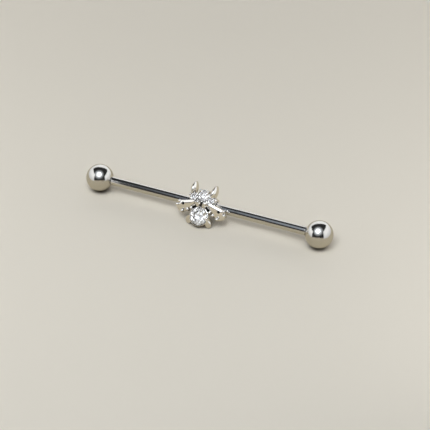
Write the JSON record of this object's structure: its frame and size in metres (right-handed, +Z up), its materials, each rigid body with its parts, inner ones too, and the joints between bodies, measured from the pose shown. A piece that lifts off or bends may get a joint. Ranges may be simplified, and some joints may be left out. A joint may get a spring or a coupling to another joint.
{
  "type": "industrial barbell",
  "caption": "Straight body-piercing barbell with a screwed ball at each end and a jewelled charm fixed at the middle of the shaft.",
  "frame": {"origin": "on the surface that the barbell rests on, under the middle of its outline seen from above", "axes": "+X along the shaft to the right ball, +Z up, and the charm faces -Y and up"},
  "size_m": [0.0478, 0.0066, 0.0071],
  "materials": {
    "surgical_steel": "mirror polished",
    "silver_plate": "polished cast and plated",
    "clear_crystal": "cut and polished"
  },
  "bodies": {
    "bar": {"shaft": "surgical_steel", "charm_setting": "silver_plate", "main_stone": "clear_crystal", "top_stone": "clear_crystal", "flank_stone_left": "clear_crystal", "flank_stone_right": "clear_crystal"},
    "end_ball_left": {"ball_left": "surgical_steel"},
    "end_ball_right": {"ball_right": "surgical_steel"}
  },
  "joints": [
    {"name": "ball_left_unscrew", "type": "slide", "parent": "bar", "child": "end_ball_left", "axis": [-1, 0, 0], "range_m": [0, 0.012]},
    {"name": "ball_right_unscrew", "type": "slide", "parent": "bar", "child": "end_ball_right", "axis": [1, 0, 0], "range_m": [0, 0.012]}
  ]
}
